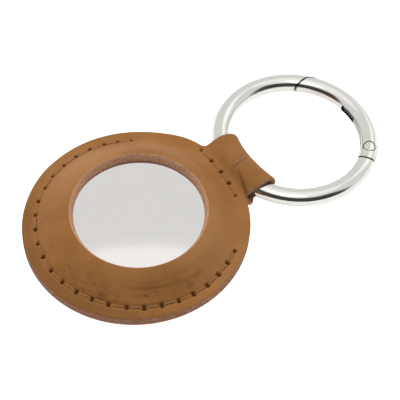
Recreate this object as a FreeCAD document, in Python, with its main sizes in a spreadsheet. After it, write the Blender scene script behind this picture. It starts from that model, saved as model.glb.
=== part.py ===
"""A leather pocket that holds a coin tracker, hung on a sprung gate ring.

The disc lies on its rear face: the origin is the centre of that face, +X runs along the hanging tab to
the ring and +Z points out of the window. Lengths are millimetres and angles degrees.
"""
import FreeCAD, Part
import math
import os

import Sketcher
from FreeCAD import Vector

SIZES = {
    # the coin tracker that the pocket is cut for
    "tag_radius": 16.0,
    "tag_thickness": 8.0,
    "tag_side": 1.6,
    "shell_floor": 1.0,
    "cover_land": 0.1,
    "cover_clearance": 0.1,
    "cover_sheet": 0.6,
    "cover_crown": 0.2,
    "cover_skirt": 1.0,
    "cover_turn": 20.0,
    "lug_reach": 0.55,
    "lug_height": 0.5,
    "lug_angle": 22.0,
    "lug_count": 3,
    "slot_clearance": 2.0,
    "cell_height": 3.2,
    "cell_clearance": 0.2,
    "cell_step": 0.4,
    "cell_cap_inset": 1.2,
    "tray_clearance": 0.15,
    "tray_floor": 0.5,
    "tray_leg": 0.6,
    "tray_wall": 1.8,
    "tray_rim": 2.35,
    "contact_height": 0.7,
    "contact_sheet": 0.2,
    "contact_width": 1.6,
    "contact_hub_radius": 1.8,
    "contact_knee": 0.36,
    "contact_reach": 6.2,
    "contact_arms": 3,
    "board_thickness": 0.8,
    "board_clearance": 0.1,
    "sounder_inset": 1.125,
    "magnet_height": 1.2,
    "coil_clearance": 0.4,
    "coil_width": 0.8,
    "coil_height": 1.2,
    "gasket_width": 0.8,
    # the two leather panels
    "leather": 1.1,
    "pocket_clearance": 0.2,
    "dome_slope": 52.0,
    "foot_radius": 1.2,
    "rim_width": 2.15,
    "window_margin": 0.1,
    "window_bevel": 0.75,
    # the seams
    "seam_inset": 1.9,
    "seam_end_angle": 57.5,
    "seam_holes": 27,
    "stitch_hole_radius": 0.56,
    "thread_radius": 0.225,
    "thread_turn": 0.25,
    "thread_lock_gap": 0.045,
    "thread_corner": 0.3,
    "tab_seam_inset": 0.8,
    "tab_seam_holes": 5,
    "tab_seam_margin": 0.6,
    # the tab that folds round the ring
    "tab_root_width": 13.6,
    "tab_fold_width": 12.6,
    "tab_gap": 0.1,
    "tail_length": 2.7,
    "tail_inset": 0.3,
    "mouth_gap": 0.3,
    "neck_reach": 1.5,
    "loop_clearance": 0.25,
    # the sprung gate ring
    "ring_bore": 25.0,
    "ring_wire": 3.5,
    "ring_drop": 0.9,
    "pin_angle": 45.0,
    "pin_radius": 0.75,
    "pin_clearance": 0.04,
    "pin_head_radius": 1.15,
    "pin_head_gap": 0.02,
    "hinge_radius": 2.9,
    "gate_gap": 0.25,
    "nose_radius": 20.0,
    "nose_angle": 60.0,
    "nose_root_angle": 75.0,
    "lip_angle": 34.5,
    "lip_overrun": 2.0,
    "lip_root_angle": 42.0,
    "lip_thickness": 1.05,
    "tongue": 1.3,
    "tongue_end_radius": 1.3,
    "fork_gap": 0.05,
    "cam_radius": 1.45,
    "cam_inset": 0.5,
    "cam_advance": 0.15,
    "cam_gap": 0.12,
    "channel_end_angle": 6.0,
    "channel_depth": 0.35,
    "plunger_end_angle": 12.0,
    "plunger_gap": 0.05,
    "spring_turns": 6,
    "spring_radius": 0.48,
    "spring_wire": 0.22,
    "spring_inset": 0.65,
}

# Every line follows from the sizes and the lines before it; heights of the pocket are above its seam.
DERIVED = {
    "tag_half": "Sizes.tag_thickness / 2",
    "tag_edge": "(Sizes.tag_thickness - Sizes.tag_side) / 2",
    "tag_flat_radius": "Sizes.tag_radius - Derived.tag_edge",
    "side_half": "Sizes.tag_side / 2",
    "shell_floor_top": "Sizes.shell_floor - Derived.tag_half",
    "cover_bore": "Derived.tag_flat_radius - Sizes.cover_land",
    "cover_radius": "Derived.cover_bore - Sizes.cover_clearance",
    "cover_edge_top": "Derived.tag_half - Sizes.cover_crown",
    "cover_under": "Derived.cover_edge_top - Sizes.cover_sheet",
    "skirt_inner": "Derived.cover_radius - Sizes.cover_sheet",
    "skirt_bottom": "Derived.cover_under - Sizes.cover_skirt",
    "crown_curve": "(Derived.cover_radius ^ 2 + Sizes.cover_crown ^ 2) / (2 * Sizes.cover_crown)",
    "lug_radius": "Derived.cover_radius + Sizes.lug_reach",
    "lug_top": "Derived.skirt_bottom + Sizes.lug_height",
    "groove_radius": "Derived.lug_radius + Sizes.cover_clearance",
    "groove_bottom": "Derived.skirt_bottom - Sizes.cover_clearance",
    "groove_top": "Derived.lug_top + Sizes.cover_clearance",
    "slot_angle": "Sizes.lug_angle + 2 * Sizes.slot_clearance",
    "cell_top": "Derived.cover_under - Sizes.cover_clearance",
    "cell_bottom": "Derived.cell_top - Sizes.cell_height",
    "tray_radius": "Derived.cover_bore - Sizes.tray_clearance",
    "tray_floor_top": "Derived.cell_bottom - Sizes.contact_height",
    "tray_floor_bottom": "Derived.tray_floor_top - Sizes.tray_floor",
    "tray_well_radius": "Derived.tray_radius - Sizes.tray_rim",
    "cell_radius": "Derived.tray_well_radius - Sizes.cell_clearance",
    "cell_cap_radius": "Derived.cell_radius - Sizes.cell_cap_inset",
    "tray_leg_inner": "Derived.tray_radius - Sizes.tray_leg",
    "tray_top": "Derived.cell_bottom + Sizes.tray_wall",
    "board_radius": "Derived.tray_leg_inner - Sizes.board_clearance",
    "magnet_radius": "Derived.board_radius / 2 - Sizes.sounder_inset",
    "coil_inner": "Derived.magnet_radius + Sizes.coil_clearance",
    "coil_outer": "Derived.coil_inner + Sizes.coil_width",
    "board_inner": "Derived.coil_outer + Sizes.coil_clearance",
    "gasket_outer": "Derived.skirt_inner - Sizes.cover_clearance",
    "gasket_inner": "Derived.gasket_outer - Sizes.gasket_width",

    "window_radius": "Derived.cover_bore + Sizes.window_margin",
    "seam_level": "Sizes.leather + Sizes.pocket_clearance + Derived.tag_half",
    "dome_inner": "Derived.tag_edge + Sizes.pocket_clearance",
    "dome_outer": "Derived.dome_inner + Sizes.leather",
    "dome_under": "Derived.side_half + Derived.dome_inner",
    "dome_top": "Derived.side_half + Derived.dome_outer",
    "foot_inner": "Sizes.foot_radius + Sizes.leather",
    "slope_sine": "sin(Sizes.dome_slope * 1deg)",
    "slope_cosine": "cos(Sizes.dome_slope * 1deg)",
    "foot_run": "Derived.dome_outer + Sizes.foot_radius"
                " - (Derived.foot_inner - Derived.side_half) * Derived.slope_cosine",
    "dome_foot": "Derived.tag_flat_radius + Derived.foot_run / Derived.slope_sine",
    "disc_radius": "Derived.dome_foot + Sizes.rim_width",
    "seam_radius": "Derived.disc_radius - Sizes.seam_inset",
    "seam_span": "360 - 2 * Sizes.seam_end_angle",

    "tab_edge": "sqrt(Derived.disc_radius ^ 2 - (Sizes.tab_root_width / 2) ^ 2)",
    "tab_seam_place": "Derived.tab_edge - Sizes.tab_seam_inset",
    "tab_seam_span": "Sizes.tab_root_width - 2 * Sizes.tab_seam_margin",
    "tab_seam_pitch": "Derived.tab_seam_span / (Sizes.tab_seam_holes - 1)",
    "tail_end": "Derived.tab_edge - Sizes.tail_length",
    "tail_half_width": "Sizes.tab_root_width / 2 - Sizes.tail_inset",
    "mouth_edge": "Derived.tail_end - Sizes.mouth_gap",
    "tab_axis": "Derived.tab_edge + Sizes.tab_gap + Sizes.leather",

    "wire_radius": "Sizes.ring_wire / 2",
    "ring_radius": "Sizes.ring_bore / 2 + Derived.wire_radius",
    "near_wire": "Derived.tab_axis + Sizes.neck_reach",
    "near_level": "Derived.seam_level - Sizes.ring_drop",
    "ring_tilt": "asin((Derived.near_level - Derived.wire_radius) / (2 * Derived.ring_radius)) / 1deg",
    "ring_x": "Derived.near_wire + Derived.ring_radius * cos(Derived.ring_tilt * 1deg)",
    "ring_z": "(Derived.near_level + Derived.wire_radius) / 2",
    "loop_inner": "Derived.wire_radius + Sizes.loop_clearance",
    "loop_outer": "Derived.loop_inner + Sizes.leather",
    "layer_inner": "Derived.wire_radius",
    "layer_outer": "Derived.layer_inner + Sizes.leather",
    "neck_half": "sqrt(Derived.loop_inner ^ 2 - Sizes.neck_reach ^ 2) + Sizes.leather",
    "fold_sag": "Derived.ring_radius - sqrt(Derived.ring_radius ^ 2 - (Sizes.tab_fold_width / 2) ^ 2)",

    "pin_x": "Derived.ring_radius * cos(Sizes.pin_angle * 1deg)",
    "pin_y": "-Derived.ring_radius * sin(Sizes.pin_angle * 1deg)",
    "fork": "Sizes.tongue + 2 * Sizes.fork_gap",
    "tongue_reach": "asin((Sizes.hinge_radius + Derived.wire_radius) / Derived.ring_radius) / 1deg",
    "lip_root": "Derived.ring_radius + Derived.wire_radius - Sizes.lip_thickness",
    "cam_x": "Derived.pin_x - Sizes.cam_inset * cos(Sizes.pin_angle * 1deg)"
             " + Sizes.cam_advance * sin(Sizes.pin_angle * 1deg)",
    "cam_y": "Derived.pin_y + Sizes.cam_inset * sin(Sizes.pin_angle * 1deg)"
             " + Sizes.cam_advance * cos(Sizes.pin_angle * 1deg)",
    "cam_sweep": "sqrt(Sizes.cam_inset ^ 2 + Sizes.cam_advance ^ 2) + Sizes.cam_radius + Sizes.cam_gap",
    "plunger_face": "Sizes.cam_advance + Sizes.cam_radius + Sizes.plunger_gap",
}

doc = FreeCAD.newDocument("tag_holder")


def make_sheet(name, cells):
    """A spreadsheet with a label, a value and an alias in each row."""
    sheet = doc.addObject("Spreadsheet::Sheet", name)
    for row, (alias, content) in enumerate(cells.items(), start=1):
        sheet.set(f"A{row}", alias)
        sheet.set(f"B{row}", content)
        sheet.setAlias(f"B{row}", alias)
    return sheet


sizes = make_sheet("Sizes", {alias: str(size) for alias, size in SIZES.items()})
derived = make_sheet("Derived", {alias: "=" + formula for alias, formula in DERIVED.items()})
doc.recompute()

nodes = []


def value(expression):
    """The number that an expression on the sheets gives."""
    return float(derived.evalExpression(expression))


def as_node(item, name):
    """Keep an object as a sub-part of the holder under its own name."""
    item.Label = name
    nodes.append(item)
    return item


def place(item, x="0", y="0", z="0", axis=(0, 0, 1), turn="0"):
    """Tie an object's place, and its turn about an axis, to the sheets."""
    spin = f"rotation(vector({axis[0]}; {axis[1]}; {axis[2]}); {turn})"
    item.setExpression("Placement", f"placement(vector({x}; {y}; {z}); {spin})")


def place_on_ring(item):
    """Lower the far side of a piece made about the ring's centre until the ring rests on the table."""
    place(item, x="Derived.ring_x", z="Derived.ring_z", axis=(0, 1, 0), turn="Derived.ring_tilt")


# Bodies drawn in sketches

def new_body(name, **where):
    body = as_node(doc.addObject("PartDesign::Body", name), name)
    place(body, **where)
    return body


def new_sketch(body, role, name):
    """An empty sketch on one of the body's own origin planes."""
    sketch = body.newObject("Sketcher::SketchObject", name)
    plane = [feature for feature in body.Origin.OriginFeatures if feature.Role == role][0]
    sketch.AttachmentSupport = [(plane, "")]
    sketch.MapMode = "FlatFace"
    return sketch


def bound(sketch, kind, geometry, expression):
    """Add a constraint on the given geometry and tie its value to the sheets."""
    index = sketch.addConstraint(Sketcher.Constraint(kind, *geometry, value(expression)))
    sketch.setExpression(f"Constraints[{index}]", expression)


def pin_point(sketch, geometry, end, point):
    bound(sketch, "DistanceX", (-1, 1, geometry, end), point[0])
    bound(sketch, "DistanceY", (-1, 1, geometry, end), point[1])


def arc_between(start, end, radius, bulge):
    """The arc from start to end; bulge +1 swells to the right of the way, -1 to the left."""
    along = end - start
    left = Vector(-along.y, along.x, 0).normalize()
    depth = math.sqrt(radius ** 2 - (along.Length / 2) ** 2)
    centre = (start + end) * 0.5 + left * bulge * depth
    first, last = (start, end) if bulge > 0 else (end, start)
    first_angle = math.atan2(first.y - centre.y, first.x - centre.x)
    last_angle = math.atan2(last.y - centre.y, last.x - centre.x)
    if last_angle < first_angle:
        last_angle += 2 * math.pi
    return Part.ArcOfCircle(Part.Circle(centre, Vector(0, 0, 1), radius), first_angle, last_angle)


def draw_outline(body, role, name, points, arcs=None):
    """A closed sketch through points given as expressions; arcs holds (radius, bulge) by side."""
    sketch = new_sketch(body, role, name)
    corners = [Vector(value(x), value(y), 0) for x, y in points]
    count = len(points)
    ends = []
    for side in range(count):
        start = corners[side]
        end = corners[(side + 1) % count]
        if arcs and side in arcs:
            radius, bulge = arcs[side]
            sketch.addGeometry(arc_between(start, end, value(radius), bulge))
            ends.append((1, 2) if bulge > 0 else (2, 1))
            bound(sketch, "Radius", (side,), radius)
        else:
            sketch.addGeometry(Part.LineSegment(start, end))
            ends.append((1, 2))
    for side in range(count):
        following = (side + 1) % count
        joint = (side, ends[side][1], following, ends[following][0])
        sketch.addConstraint(Sketcher.Constraint("Coincident", *joint))
    for side, point in enumerate(points):
        pin_point(sketch, side, ends[side][0], point)
    return sketch


def draw_circle(body, name, centre, radius):
    sketch = new_sketch(body, "XY_Plane", name)
    middle = Vector(value(centre[0]), value(centre[1]), 0)
    sketch.addGeometry(Part.Circle(middle, Vector(0, 0, 1), value(radius)))
    bound(sketch, "Radius", (0,), radius)
    pin_point(sketch, 0, 3, centre)
    return sketch


def revolve(body, sketch, kind="Revolution", angle="360"):
    """Turn a sketch on the XZ plane about the body's axis, evenly to both sides of the plane."""
    feature = body.newObject("PartDesign::" + kind, sketch.Name + kind)
    feature.Profile = sketch
    feature.ReferenceAxis = (sketch, ["V_Axis"])
    feature.Midplane = True
    feature.setExpression("Angle", angle)
    return feature


def cut_through(body, sketch):
    feature = body.newObject("PartDesign::Pocket", sketch.Name + "Pocket")
    feature.Profile = sketch
    feature.Type = "ThroughAll"
    feature.Midplane = True
    return feature


def polar_pattern(body, feature, sketch, axis, angle, count):
    pattern = body.newObject("PartDesign::PolarPattern", feature.Name + "Pattern")
    pattern.Originals = [feature]
    pattern.Axis = (sketch, [axis])
    pattern.setExpression("Angle", angle)
    pattern.setExpression("Occurrences", count)
    body.Tip = pattern
    return pattern


def linear_pattern(body, feature, sketch, length, count):
    pattern = body.newObject("PartDesign::LinearPattern", feature.Name + "Pattern")
    pattern.Originals = [feature]
    pattern.Direction = (sketch, ["V_Axis"])
    pattern.setExpression("Length", length)
    pattern.setExpression("Occurrences", count)
    body.Tip = pattern
    return pattern


def turned_body(name, points, arcs=None, **where):
    """A body turned from an outline of (radius, height) pairs."""
    body = new_body(name, **where)
    revolve(body, draw_outline(body, "XZ_Plane", name + "_outline", points, arcs))
    return body


# Primitives and booleans

def primitive(kind, name, measures, **where):
    item = doc.addObject("Part::" + kind, name)
    for measure, expression in measures.items():
        item.setExpression(measure, expression)
    place(item, **where)
    return item


def combine(kind, name, base, tool):
    item = doc.addObject("Part::" + kind, name)
    item.Base = base
    item.Tool = tool
    return item


def fuse(name, *pieces):
    item = doc.addObject("Part::MultiFuse", name)
    item.Shapes = list(pieces)
    return item


# The two domed panels

def panel(name, **where):
    """A disc of leather pressed over half of the tag; the seam lies on the body's own XY plane."""
    crest_out = ("Derived.tag_flat_radius + Derived.dome_outer * Derived.slope_sine",
                 "Derived.side_half + Derived.dome_outer * Derived.slope_cosine")
    crest_in = ("Derived.tag_flat_radius + Derived.dome_inner * Derived.slope_sine",
                "Derived.side_half + Derived.dome_inner * Derived.slope_cosine")
    foot_out = ("Derived.dome_foot - Sizes.foot_radius * Derived.slope_sine",
                "Derived.foot_inner - Sizes.foot_radius * Derived.slope_cosine")
    foot_in = ("Derived.dome_foot - Derived.foot_inner * Derived.slope_sine",
               "Derived.foot_inner - Derived.foot_inner * Derived.slope_cosine")
    points = [
        ("0", "Derived.dome_top"),
        ("Derived.tag_flat_radius", "Derived.dome_top"),
        crest_out,
        foot_out,
        ("Derived.dome_foot", "Sizes.leather"),
        ("Derived.disc_radius", "Sizes.leather"),
        ("Derived.disc_radius", "0"),
        ("Derived.dome_foot", "0"),
        foot_in,
        crest_in,
        ("Derived.tag_flat_radius", "Derived.dome_under"),
        ("0", "Derived.dome_under"),
    ]
    arcs = {
        1: ("Derived.dome_outer", -1),
        3: ("Sizes.foot_radius", 1),
        7: ("Derived.foot_inner", -1),
        9: ("Derived.dome_inner", 1),
    }
    return turned_body(name, points, arcs, **where)


def pierce_seam(body):
    """The holes of the perimeter seam, from one end of the mouth round to the other."""
    start = ("Derived.seam_radius * cos(Sizes.seam_end_angle * 1deg)",
             "Derived.seam_radius * sin(Sizes.seam_end_angle * 1deg)")
    sketch = draw_circle(body, body.Name + "_seam_hole", start, "Sizes.stitch_hole_radius")
    hole = cut_through(body, sketch)
    polar_pattern(body, hole, sketch, "N_Axis", "Derived.seam_span", "Sizes.seam_holes")


def pierce_tab_seam(body):
    """The straight row of holes that holds the end of the tab."""
    start = ("Derived.tab_seam_place", "-Derived.tab_seam_span / 2")
    sketch = draw_circle(body, body.Name + "_tab_hole", start, "Sizes.stitch_hole_radius")
    hole = cut_through(body, sketch)
    linear_pattern(body, hole, sketch, "Derived.tab_seam_span", "Sizes.tab_seam_holes")


def trim_beyond(body, edge):
    """Cut a panel straight across where x passes an edge."""
    points = [
        (edge, "-Derived.disc_radius"),
        ("2 * Derived.disc_radius", "-Derived.disc_radius"),
        ("2 * Derived.disc_radius", "Derived.disc_radius"),
        (edge, "Derived.disc_radius"),
    ]
    cut_through(body, draw_outline(body, "XY_Plane", body.Name + "_edge", points))


front_panel = panel("front_panel", z="Derived.seam_level")
window_points = [
    ("0", "0"),
    ("Derived.window_radius - Sizes.window_bevel", "0"),
    ("Derived.window_radius - Sizes.window_bevel", "Derived.dome_under"),
    ("Derived.window_radius", "Derived.dome_top"),
    ("Derived.window_radius", "Derived.dome_top + Sizes.leather"),
    ("0", "Derived.dome_top + Sizes.leather"),
]
revolve(front_panel, draw_outline(front_panel, "XZ_Plane", "window", window_points), "Groove")
pierce_seam(front_panel)
trim_beyond(front_panel, "Derived.tab_edge")
pierce_tab_seam(front_panel)

rear_panel = panel("rear_panel", z="Derived.seam_level", axis=(1, 0, 0), turn="180")
pierce_seam(rear_panel)
trim_beyond(rear_panel, "Derived.mouth_edge")


# The tab: its tail under the rim, and the loop that folds round the ring

tab_tail = new_body("tab_tail", z="Derived.seam_level - Sizes.leather")
tail_points = [
    ("Derived.tail_end", "-Derived.tail_half_width"),
    ("Derived.tab_edge", "-Derived.tail_half_width"),
    ("Derived.tab_edge", "Derived.tail_half_width"),
    ("Derived.tail_end", "Derived.tail_half_width"),
]
tail_pad = tab_tail.newObject("PartDesign::Pad", "tail_pad")
tail_pad.Profile = draw_outline(tab_tail, "XY_Plane", "tail_outline", tail_points)
tail_pad.setExpression("Length", "Sizes.leather")
pierce_tab_seam(tab_tail)


def strip(name, half_start, level_start, half_end, width_start, width_end):
    """A tapering block along X from the tab's axis to the near side of the ring, where it is centred."""
    measures = {
        "Ymin": "0",
        "Ymax": "Sizes.neck_reach",
        "Xmin": f"-({width_start}) / 2",
        "Xmax": f"({width_start}) / 2",
        "Zmin": f"({level_start}) - ({half_start})",
        "Zmax": f"({level_start}) + ({half_start})",
        "X2min": f"-({width_end}) / 2",
        "X2max": f"({width_end}) / 2",
        "Z2min": f"-Sizes.ring_drop - ({half_end})",
        "Z2max": f"-Sizes.ring_drop + ({half_end})",
    }
    return primitive("Wedge", name, measures, x="Derived.tab_axis", z="Derived.seam_level", turn="-90")


def level_block(name, half_height):
    """The part of the fold beside the ring, where the two layers run level with the wire."""
    measures = {
        "Length": "Derived.fold_sag",
        "Width": "Sizes.tab_fold_width",
        "Height": f"2 * ({half_height})",
    }
    return primitive("Box", name, measures, x="Derived.near_wire", y="-Sizes.tab_fold_width / 2",
                     z=f"Derived.near_level - ({half_height})")


def ring_torus(name, tube, start="0", span="360"):
    """A sector of the ring's circle with a round section, made about the ring's centre."""
    measures = {"Radius1": "Derived.ring_radius", "Radius2": tube, "Angle3": span}
    return primitive("Torus", name, measures, turn=start)


def hanging_tab():
    root_width = "Sizes.tab_root_width"
    fold_width = "Sizes.tab_fold_width"
    knuckle_measures = {"Radius": "Sizes.leather", "Height": root_width}
    knuckle = primitive("Cylinder", "tab_knuckle", knuckle_measures, x="Derived.tab_axis",
                        y=f"{root_width} / 2", z="Derived.seam_level", axis=(1, 0, 0), turn="90")
    neck = strip("tab_neck", "Derived.neck_half", "-Sizes.ring_drop", "Derived.layer_outer",
                 root_width, fold_width)
    shoulder = level_block("tab_level", "Derived.layer_outer")
    fold_tube = ring_torus("tab_fold_tube", "Derived.loop_outer")
    place_on_ring(fold_tube)
    fold_bounds = level_block("tab_fold_bounds", "2 * Derived.loop_outer")
    fold_bounds.setExpression("Length", "Derived.fold_sag + 2 * Derived.loop_outer")
    fold = combine("Common", "tab_fold", fold_tube, fold_bounds)
    outside = fuse("tab_outside", knuckle, neck, shoulder, fold)

    bore = ring_torus("tab_bore", "Derived.loop_inner")
    place_on_ring(bore)
    neck_void = strip("tab_neck_void", "Sizes.loop_clearance / 2", "0", "Derived.layer_inner",
                      f"2 * {root_width}", f"2 * {root_width}")
    level_void = level_block("tab_level_void", "Derived.layer_inner")
    level_void.setExpression("Width", f"2 * {root_width}")
    place(level_void, x="Derived.near_wire", y=f"-{root_width}", z="Derived.near_level - Derived.layer_inner")
    inside = fuse("tab_inside", bore, neck_void, level_void)
    return as_node(combine("Cut", "hanging_tab", outside, inside), "hanging_tab")


hanging_tab()


# The threads of the two seams

def thread_path(holes):
    """A line on the leather from hole to hole that dips into each hole and turns back up."""
    turn = sizes.thread_turn
    corner = sizes.thread_corner
    level = sizes.leather + sizes.thread_radius
    turn_level = sizes.thread_lock_gap + sizes.thread_radius + turn
    up = Vector(0, 0, 1)
    ways = [(after - before).normalize() for before, after in zip(holes, holes[1:])]
    tangents = [ways[0]]
    tangents += [(before + after).normalize() for before, after in zip(ways, ways[1:])]
    tangents.append(ways[-1])

    edges = []

    def line(start, end):
        edges.append(Part.LineSegment(start, end).toShape())

    def arc(start, middle, end):
        edges.append(Part.Arc(start, middle, end).toShape())

    bend = corner * (1 - math.sqrt(0.5))
    for index, (hole, following) in enumerate(zip(holes, holes[1:])):
        leave = hole + tangents[index] * turn
        arrive = following - tangents[index + 1] * turn
        way = (arrive - leave).normalize()
        line(leave + up * turn_level, leave + up * (level - corner))
        arc(leave + up * (level - corner), leave + way * bend + up * (level - bend),
            leave + way * corner + up * level)
        line(leave + way * corner + up * level, arrive - way * corner + up * level)
        arc(arrive - way * corner + up * level, arrive - way * bend + up * (level - bend),
            arrive + up * (level - corner))
        line(arrive + up * (level - corner), arrive + up * turn_level)
        if index + 2 < len(holes):
            onward = following + tangents[index + 1] * turn
            arc(arrive + up * turn_level, following + up * (turn_level - turn), onward + up * turn_level)
    return Part.Wire(edges)


def tube_along(path, radius):
    start = path.Edges[0]
    origin = start.valueAt(start.FirstParameter)
    along = start.tangentAt(start.FirstParameter)
    section = Part.Wire(Part.makeCircle(radius, origin, along))
    return path.makePipeShell([section], True, False)


def thread(name, holes, side_turn):
    """One thread of a lockstitch seam: the needle thread on the front or the bobbin thread behind."""
    item = doc.addObject("Part::Feature", name)
    item.Shape = tube_along(thread_path(holes), sizes.thread_radius)
    place(item, z="Derived.seam_level", axis=(1, 0, 0), turn=side_turn)
    return as_node(item, name)


seam_step = derived.seam_span / (int(sizes.seam_holes) - 1)
seam_angles = [math.radians(sizes.seam_end_angle + seam_step * hole) for hole in range(int(sizes.seam_holes))]
seam_points = [Vector(math.cos(angle), math.sin(angle), 0) * derived.seam_radius for angle in seam_angles]
tab_points = [Vector(derived.tab_seam_place, derived.tab_seam_pitch * hole - derived.tab_seam_span / 2, 0)
              for hole in range(int(sizes.tab_seam_holes))]
thread("perimeter_needle_thread", seam_points, "0")
thread("perimeter_bobbin_thread", seam_points, "180")
thread("tab_needle_thread", tab_points, "0")
thread("tab_bobbin_thread", tab_points, "180")


# The sprung gate ring, made about its own centre: angle 0 points away from the disc

def at_pin(name, radius, height, x="Derived.pin_x", y="Derived.pin_y"):
    """A cylinder along the hinge pin's direction, evenly above and below the ring's plane."""
    measures = {"Radius": radius, "Height": height}
    return primitive("Cylinder", name, measures, x=x, y=y, z=f"-({height}) / 2")


def ring_slab(name, thickness):
    """A thin plate through the whole ring, on its plane."""
    span = "2 * (Derived.ring_radius + Sizes.ring_wire)"
    measures = {"Length": span, "Width": span, "Height": thickness}
    return primitive("Box", name, measures, x=f"-({span}) / 2", y=f"-({span}) / 2", z=f"-({thickness}) / 2")


def beyond_lip(name, offset):
    """A block that fills the outer side of the slanted face between the lip and the gate's nose.

    The face meets the wire's outside where the lip ends and leaves a full lip at the lip's root.
    """
    tip_radius = "(Derived.ring_radius + Derived.wire_radius)"
    tip_x = f"{tip_radius} * cos((Sizes.lip_angle - Sizes.lip_overrun) * 1deg)"
    tip_y = f"{tip_radius} * sin((Sizes.lip_angle - Sizes.lip_overrun) * 1deg)"
    root_x = "Derived.lip_root * cos(Sizes.lip_root_angle * 1deg)"
    root_y = "Derived.lip_root * sin(Sizes.lip_root_angle * 1deg)"
    lean = math.degrees(math.atan2(value(root_y) - value(tip_y), value(root_x) - value(tip_x)))
    reach = "2 * Sizes.nose_radius"
    measures = {"Length": reach, "Width": reach, "Height": "4 * Derived.wire_radius"}
    away = (math.sin(math.radians(lean)), -math.cos(math.radians(lean)))
    middle = (-math.cos(math.radians(lean)), -math.sin(math.radians(lean)))
    x = f"{tip_x} + ({away[0]}) * ({reach} - ({offset})) + ({middle[0]}) * {reach} / 2"
    y = f"{tip_y} + ({away[1]}) * ({reach} - ({offset})) + ({middle[1]}) * {reach} / 2"
    return primitive("Box", name, measures, x=x, y=y, z="-2 * Derived.wire_radius", turn=str(lean))


def ring_body():
    hinge_end = "-Sizes.pin_angle"
    wire = "Derived.wire_radius"
    main = ring_torus("body_arc", wire, "Sizes.nose_root_angle",
                      "360 - Sizes.pin_angle - Sizes.nose_root_angle")
    hinge_room = at_pin("body_hinge_room", "Sizes.hinge_radius + Sizes.gate_gap", "4 * Derived.wire_radius")
    shoulder = combine("Cut", "body_shoulder", main, hinge_room)

    nose_arc = ring_torus("body_nose_arc", wire, "Sizes.lip_angle", "Sizes.nose_root_angle - Sizes.lip_angle")
    swing = at_pin("body_swing", "Sizes.nose_radius + Sizes.gate_gap", "4 * Derived.wire_radius")
    swing_inside = combine("Cut", "body_swing_inside", swing, beyond_lip("body_lip_block", "0"))
    nose = combine("Cut", "body_nose", nose_arc, swing_inside)

    tongue_arc = ring_torus("tongue_arc", wire, f"{hinge_end} - Derived.tongue_reach", "Derived.tongue_reach")
    tongue_plate = combine("Common", "tongue_plate", tongue_arc, ring_slab("tongue_slab", "Sizes.tongue"))
    tongue_end = at_pin("tongue_end", "Sizes.tongue_end_radius", "Sizes.tongue")
    cam_disc = at_pin("tongue_cam_disc", "Sizes.cam_radius", "Sizes.tongue", "Derived.cam_x", "Derived.cam_y")
    cam = combine("Common", "tongue_cam", cam_disc, ring_torus("tongue_cam_bounds", wire))
    solid = fuse("ring_body_solid", shoulder, nose, tongue_plate, tongue_end, cam)
    pin_bore = at_pin("tongue_pin_bore", "Sizes.pin_radius + Sizes.pin_clearance", "4 * Derived.wire_radius")
    item = as_node(combine("Cut", "ring_body", solid, pin_bore), "ring_body")
    place_on_ring(item)


def ring_gate():
    arm_arc = ring_torus("gate_arm_arc", "Derived.wire_radius", "-Sizes.pin_angle",
                         "Sizes.pin_angle + Sizes.nose_angle")
    swing = at_pin("gate_swing", "Sizes.nose_radius", "4 * Derived.wire_radius")
    arm = combine("Common", "gate_arm", arm_arc, swing)
    nose = combine("Cut", "gate_nose", arm, beyond_lip("gate_lip_block", "Sizes.gate_gap"))
    heel_arc = ring_torus("gate_heel_arc", "Derived.wire_radius",
                          "-Sizes.pin_angle - Derived.tongue_reach", "Derived.tongue_reach")
    heel_round = at_pin("gate_heel_round", "Sizes.hinge_radius", "4 * Derived.wire_radius")
    heel = combine("Common", "gate_heel", heel_arc, heel_round)
    solid = fuse("gate_solid", nose, heel)

    fork_reach = "2 * Sizes.hinge_radius"
    fork_measures = {"Length": fork_reach, "Width": fork_reach, "Height": "Derived.fork"}
    fork_x = f"Derived.pin_x - {fork_reach} / 2 * cos(Sizes.pin_angle * 1deg)" \
             f" - {fork_reach} * sin(Sizes.pin_angle * 1deg)"
    fork_y = f"Derived.pin_y + {fork_reach} / 2 * sin(Sizes.pin_angle * 1deg)" \
             f" - {fork_reach} * cos(Sizes.pin_angle * 1deg)"
    fork = primitive("Box", "gate_fork", fork_measures, x=fork_x, y=fork_y, z="-Derived.fork / 2",
                     turn="-Sizes.pin_angle")
    fork_round = at_pin("gate_fork_round", "Derived.cam_sweep", "Derived.fork")
    channel_measures = {
        "Radius": "Derived.ring_radius + Sizes.channel_depth",
        "Height": "Derived.fork",
        "Angle": "Sizes.pin_angle + Sizes.channel_end_angle",
    }
    channel = primitive("Cylinder", "gate_channel", channel_measures, z="-Derived.fork / 2",
                        turn="-Sizes.pin_angle")
    pin_bore = at_pin("gate_pin_bore", "Sizes.pin_head_radius + Sizes.pin_head_gap", "4 * Derived.wire_radius")
    room = fuse("gate_room", fork, fork_round, channel, pin_bore)
    item = as_node(combine("Cut", "ring_gate", solid, room), "ring_gate")
    place_on_ring(item)


def gate_pin():
    """A pin with a wide head in each cheek of the gate and a thin shank through the tongue."""
    rod = at_pin("pin_rod", "Sizes.pin_head_radius", "4 * Derived.wire_radius")
    flush = combine("Common", "pin_flush", rod, ring_torus("pin_bounds", "Derived.wire_radius"))
    waist_room = at_pin("pin_waist_room", "2 * Sizes.pin_head_radius", "Derived.fork")
    waist = combine("Cut", "pin_waist", waist_room, at_pin("pin_shank", "Sizes.pin_radius", "Derived.fork"))
    item = as_node(combine("Cut", "gate_pin", flush, waist), "gate_pin")
    place_on_ring(item)


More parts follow.
